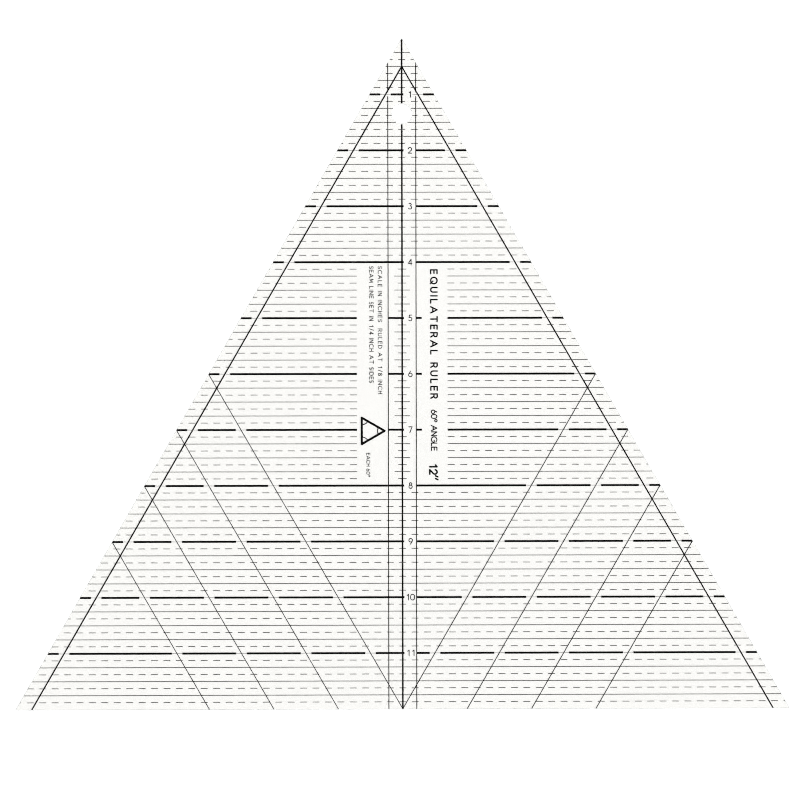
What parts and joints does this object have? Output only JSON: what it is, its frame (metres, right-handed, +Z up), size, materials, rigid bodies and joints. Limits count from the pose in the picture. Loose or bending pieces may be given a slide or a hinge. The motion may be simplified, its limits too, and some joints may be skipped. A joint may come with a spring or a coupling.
{
  "type": "quilting ruler",
  "caption": "Clear acrylic 60 degree triangle ruler, printed on its underside with an inch scale, seam lines and 60 degree lines, with a hanging hole.",
  "frame": {"origin": "middle of the footprint, on the surface that the ruler lies on with its print down", "axes": "+X to the right along the base, the longest side of the footprint; +Y from the base to the apex; +Z up through the thickness"},
  "size_m": [0.3516, 0.3046, 0.003],
  "materials": {
    "acrylic": "clear polished cast acrylic",
    "black_ink": "black screen printing ink"
  },
  "bodies": {
    "root": {"acrylic_plate": "acrylic", "centre_line": "black_ink", "seam_line_left": "black_ink", "seam_line_right": "black_ink", "band_line_left": "black_ink", "band_line_right": "black_ink", "inch_lines": "black_ink", "gap_hairlines": "black_ink", "sixty_degree_lines_left": "black_ink", "sixty_degree_lines_right": "black_ink", "quarter_inch_lines_left": "black_ink", "quarter_inch_lines_right": "black_ink", "eighth_inch_dashes_left": "black_ink", "eighth_inch_dashes_right": "black_ink", "quarter_inch_ticks": "black_ink", "eighth_inch_ticks": "black_ink", "numeral_1": "black_ink", "numeral_2": "black_ink", "numeral_3": "black_ink", "numeral_4": "black_ink", "numeral_5": "black_ink", "numeral_6": "black_ink", "numeral_7": "black_ink", "numeral_8": "black_ink", "numeral_9": "black_ink", "numeral_10": "black_ink", "numeral_11": "black_ink", "title_lettering": "black_ink", "angle_lettering": "black_ink", "size_lettering": "black_ink", "scale_note": "black_ink", "angle_emblem": "black_ink"}
  },
  "joints": []
}
